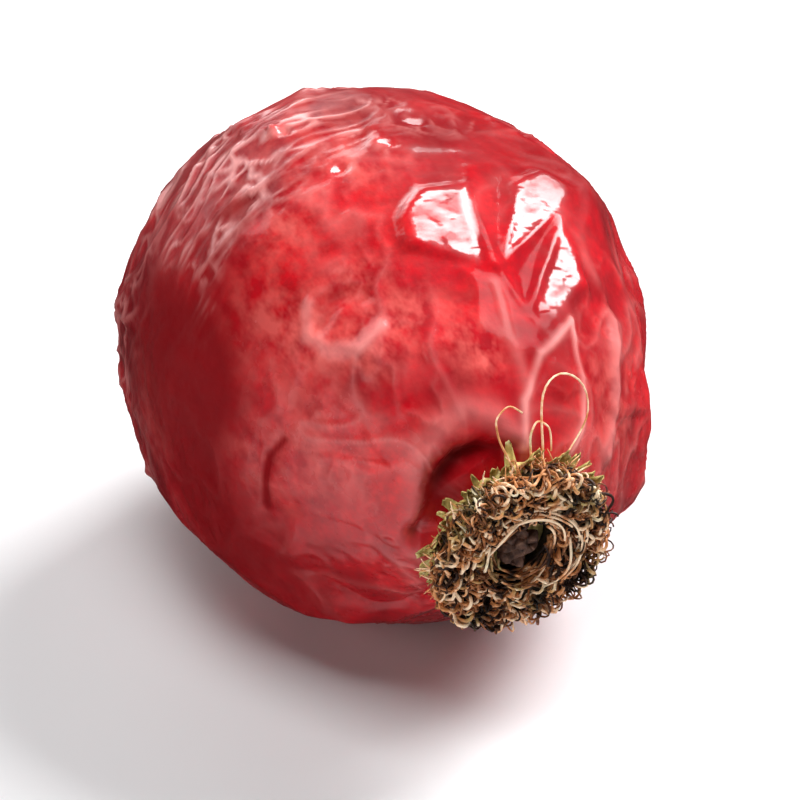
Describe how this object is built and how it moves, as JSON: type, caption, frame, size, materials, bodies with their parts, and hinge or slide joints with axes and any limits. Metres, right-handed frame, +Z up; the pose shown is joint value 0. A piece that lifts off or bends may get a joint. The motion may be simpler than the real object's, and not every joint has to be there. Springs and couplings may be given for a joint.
{
  "type": "dried rose hip",
  "caption": "Dried rose hip lying on its side: a wrinkled glossy red fruit with a crown of dried stamens at one end and a torn stalk scar at the other.",
  "frame": {"origin": "middle of the small flat spot that the fruit rests on, under its long axis", "axes": "+Z up, +X along the fruit's long axis from the stalk scar to the stamens, +Y to its left"},
  "size_m": [0.0191, 0.0139, 0.0135],
  "materials": {
    "dried_skin": "dried fruit skin, glossy and wrinkled",
    "straw": "dry papery sepal base, matt",
    "dried_stamen": "dry brown plant fibre, matt",
    "dried_style": "dry brown plant fibre, matt",
    "dried_stalk": "torn dry stalk, matt"
  },
  "bodies": {
    "root": {"fruit_wall": "dried_skin", "sepal_collar": "straw", "stamen_crown": "dried_stamen", "style_tuft": "dried_style", "stalk_stub": "dried_stalk"}
  },
  "joints": []
}
